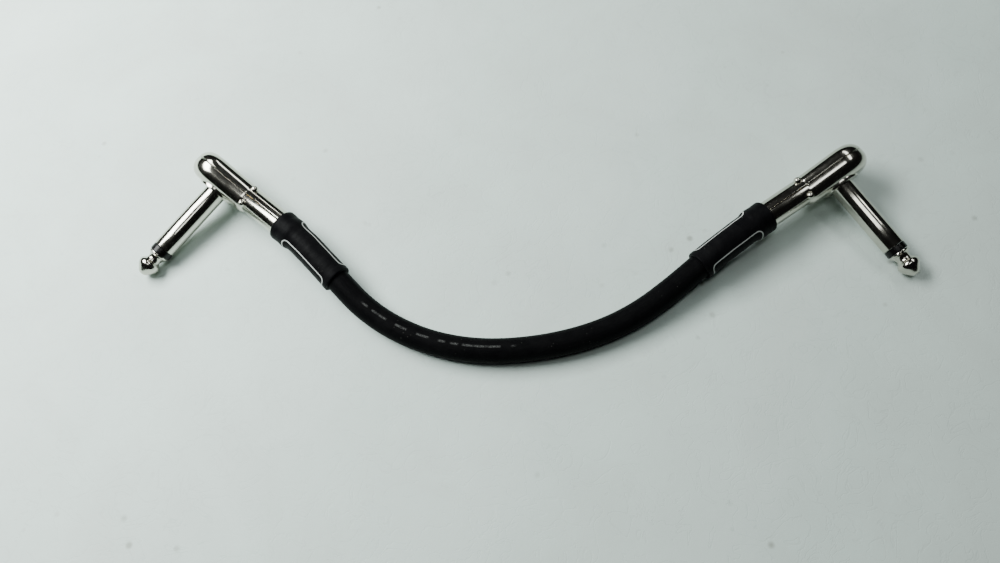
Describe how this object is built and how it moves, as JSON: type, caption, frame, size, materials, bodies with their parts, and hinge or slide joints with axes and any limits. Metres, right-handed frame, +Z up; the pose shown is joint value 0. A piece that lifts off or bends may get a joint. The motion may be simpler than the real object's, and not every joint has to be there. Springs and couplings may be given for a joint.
{
  "type": "instrument patch cable",
  "caption": "Short black guitar patch cable with a flat right-angle 6.35 mm plug on each end, laid in a shallow curve.",
  "frame": {"origin": "on the table, at the middle of the box around the two plugs and their sleeves", "axes": "+X from the left plug to the right plug, +Y away from the curve of the cable, +Z up from the table"},
  "size_m": [0.223, 0.0662, 0.016],
  "materials": {
    "nickel_plate": "polished nickel plate with fine scratches",
    "black_plastic": "moulded black plastic",
    "white_plastic": "natural white plastic",
    "brass_parts": "stamped brass",
    "copper_wire": "bare copper strands",
    "solder": "shiny solder",
    "shrink_tube": "semi-matt black heat-shrink tube with a pale printed outline",
    "jacket_rubber": "satin black flexible jacket"
  },
  "bodies": {
    "left_end": {"left_front_shell": "nickel_plate", "left_cover_shell": "nickel_plate", "left_shank_barrel": "nickel_plate", "left_tip_insulator": "black_plastic", "left_tip": "nickel_plate", "left_barrel_liner": "white_plastic", "left_rear_washer": "black_plastic", "left_tip_lug": "brass_parts", "left_tip_solder": "solder", "left_insulating_sheet": "white_plastic", "left_clamp_ring": "brass_parts", "left_shield_pigtail": "copper_wire", "left_ground_solder": "solder", "left_heat_shrink": "shrink_tube", "cable_jacket": "jacket_rubber", "cable_shield": "copper_wire", "cable_insulation": "white_plastic", "cable_core": "copper_wire"},
    "right_end": {"right_front_shell": "nickel_plate", "right_cover_shell": "nickel_plate", "right_shank_barrel": "nickel_plate", "right_tip_insulator": "black_plastic", "right_tip": "nickel_plate", "right_barrel_liner": "white_plastic", "right_rear_washer": "black_plastic", "right_tip_lug": "brass_parts", "right_tip_solder": "solder", "right_insulating_sheet": "white_plastic", "right_clamp_ring": "brass_parts", "right_shield_pigtail": "copper_wire", "right_ground_solder": "solder", "right_heat_shrink": "shrink_tube"}
  },
  "joints": [
    {"name": "cable_bend", "type": "hinge", "parent": "left_end", "child": "right_end", "pos_m": [-0.0018, -0.0404, 0.0035], "axis": [0, 0, 1], "range_deg": [-45, 45], "stiffness_Nm_per_rad": 0.02, "deforming": ["cable_jacket", "cable_shield", "cable_insulation", "cable_core"]}
  ]
}
